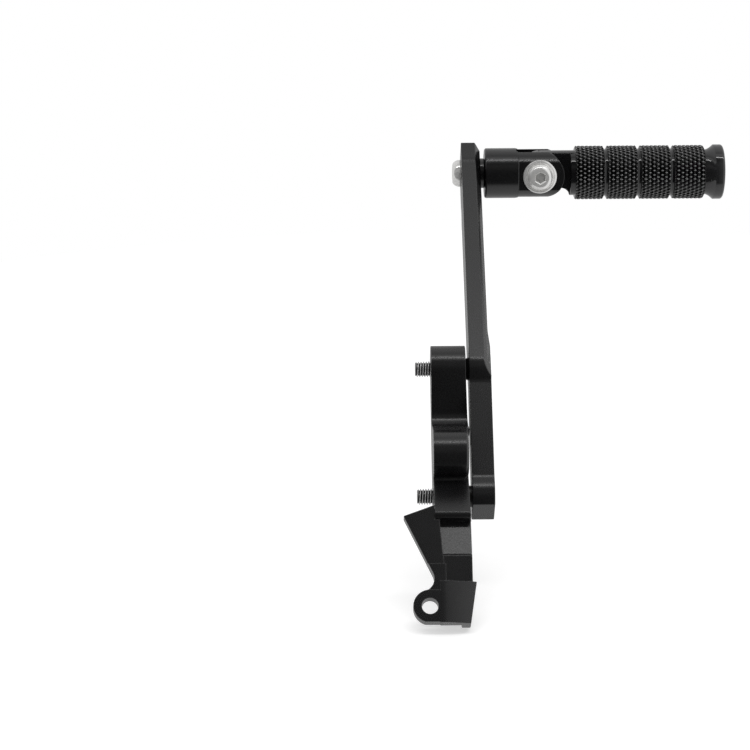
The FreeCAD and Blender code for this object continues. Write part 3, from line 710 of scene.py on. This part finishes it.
# Brightness of the mirrored room by degrees: 0 is towards the camera, 90 overhead, 180 behind the object
STUDIO = [(-180, 0.62), (-80, 0.6), (-64, 0.5), (-57, 0.04), (-10, 0.02), (8, 0.04), (25, 0.13), (37, 0.06),
          (45, 0.04), (52, 0.08), (60, 0.35), (66, 0.66), (72, 0.66), (77, 0.36), (83, 0.4), (95, 0.55),
          (180, 0.6)]
SIDE_WALL = (0.8, 0.8, 0.8, 1)
SOFT_LIGHT = (0.72, 0.72, 0.72, 1)
WHITE = (1, 1, 1, 1)


def make_world():
    """White surround with a dark room on the front side, as polished and dyed surfaces mirror it."""
    world = bpy.data.worlds.new("studio")
    bpy.context.scene.world = world
    world.use_nodes = True
    tree = world.node_tree
    direction = tree.nodes.new("ShaderNodeTexCoord").outputs["Generated"]
    upward = vector_node(tree, "DOT_PRODUCT", "Value", direction, VIEW_UP)
    nearer = vector_node(tree, "DOT_PRODUCT", "Value", direction, TO_CAMERA)
    turn = math_node(tree, "DIVIDE", math_node(tree, "ARCTAN2", upward, nearer), 2 * math.pi)
    stops = [((deg + 180) / 360, value) for deg, value in STUDIO]
    room = ramp(tree, math_node(tree, "ADD", turn, 0.5), stops)
    to_side = map_range(tree, x_of(tree, direction), 0.0, 1.0, 0.2, 0.5)
    path = tree.nodes.new("ShaderNodeLightPath")
    lit = mix(tree, path.outputs["Is Glossy Ray"], SOFT_LIGHT, mix(tree, to_side, room, SIDE_WALL))
    shown = math_node(tree, "MAXIMUM", path.outputs["Is Camera Ray"], path.outputs["Is Transmission Ray"])
    background = tree.nodes["Background"]
    link(tree, mix(tree, shown, lit, WHITE), background.inputs["Color"])
    background.inputs["Strength"].default_value = 1.0


def make_floor():
    """Pale round floor just under the object, lifted to white for the camera alone."""
    low, high = cad_box
    bm = bmesh.new()
    bmesh.ops.create_circle(bm, cap_ends=True, segments=96, radius=0.75)
    mesh = bpy.data.meshes.new("floor")
    bm.to_mesh(mesh)
    bm.free()
    floor = bpy.data.objects.new("floor", mesh)
    bpy.context.scene.collection.objects.link(floor)
    floor.location = ((low.x + high.x) / 2, (low.y + high.y) / 2, low.z - 0.5 * MM)
    mat, tree, shader = new_material("pale_floor")
    grain = noise(tree, object_coords(tree), 40.0, 2.0, 0.5)
    link(tree, ramp(tree, grain, [(0.3, 0.78), (0.7, 0.8)]), shader.inputs["Base Color"])
    shader.inputs["Roughness"].default_value = 0.9
    shader.inputs["Specular IOR Level"].default_value = 0.0
    path = tree.nodes.new("ShaderNodeLightPath")
    glow = tree.nodes.new("ShaderNodeEmission")
    link(tree, map_range(tree, path.outputs["Is Camera Ray"], 0.0, 0.42), glow.inputs["Strength"])
    both = tree.nodes.new("ShaderNodeAddShader")
    link(tree, shader.outputs["BSDF"], both.inputs[0])
    link(tree, glow.outputs["Emission"], both.inputs[1])
    link(tree, both.outputs["Shader"], tree.nodes["Material Output"].inputs["Surface"])
    mesh.materials.append(mat)
    floor.visible_glossy = False


def make_lamp(name, angle_deg, distance, width, height, power, mirrored):
    """Softbox at an angle above the camera, turned to the object's middle."""
    low, high = cad_box
    centre = (low + high) / 2
    a = math.radians(angle_deg)
    direction = (TO_CAMERA * math.cos(a) + VIEW_UP * math.sin(a)).normalized()
    data = bpy.data.lights.new(name, "AREA")
    data.shape = "RECTANGLE"
    data.size = width
    data.size_y = height
    data.energy = power
    lamp = bpy.data.objects.new(name, data)
    bpy.context.scene.collection.objects.link(lamp)
    lamp.location = centre + direction * distance
    lamp.rotation_mode = "QUATERNION"
    lamp.rotation_quaternion = direction.to_track_quat("Z", "Y")
    lamp.visible_glossy = mirrored


def make_camera():
    """Camera at the photograph's place: it looks along +Y and a little down."""
    focal_px = 2200.0
    width_px = 750.0
    upper_bolt_px = (430.5, 369.3)
    distance = 1.082
    sensor = 36.0
    forward = -TO_CAMERA
    right = ACROSS * math.cos(ROLL) - VIEW_UP * math.sin(ROLL)
    up = VIEW_UP * math.cos(ROLL) + ACROSS * math.sin(ROLL)
    across = (upper_bolt_px[0] - width_px / 2) / focal_px * distance
    above = -(upper_bolt_px[1] - width_px / 2) / focal_px * distance
    data = bpy.data.cameras.new("camera")
    data.sensor_width = sensor
    data.lens = sensor * focal_px / width_px
    data.clip_start = 0.05
    data.clip_end = 20.0
    camera = bpy.data.objects.new("camera", data)
    bpy.context.scene.collection.objects.link(camera)
    place = HALF - (right * across + up * above + forward * distance)
    camera.matrix_world = Matrix((
        (right.x, up.x, -forward.x, place.x),
        (right.y, up.y, -forward.y, place.y),
        (right.z, up.z, -forward.z, place.z),
        (0, 0, 0, 1)))
    bpy.context.scene.camera = camera


make_world()
make_floor()
make_lamp("softbox", 52.0, 1.1, 1.1, 0.16, 1.5, False)
make_lamp("strip", 59.0, 3.0, 5.0, 0.15, 18.0, True)
make_camera()
bpy.context.scene.view_settings.view_transform = "Standard"
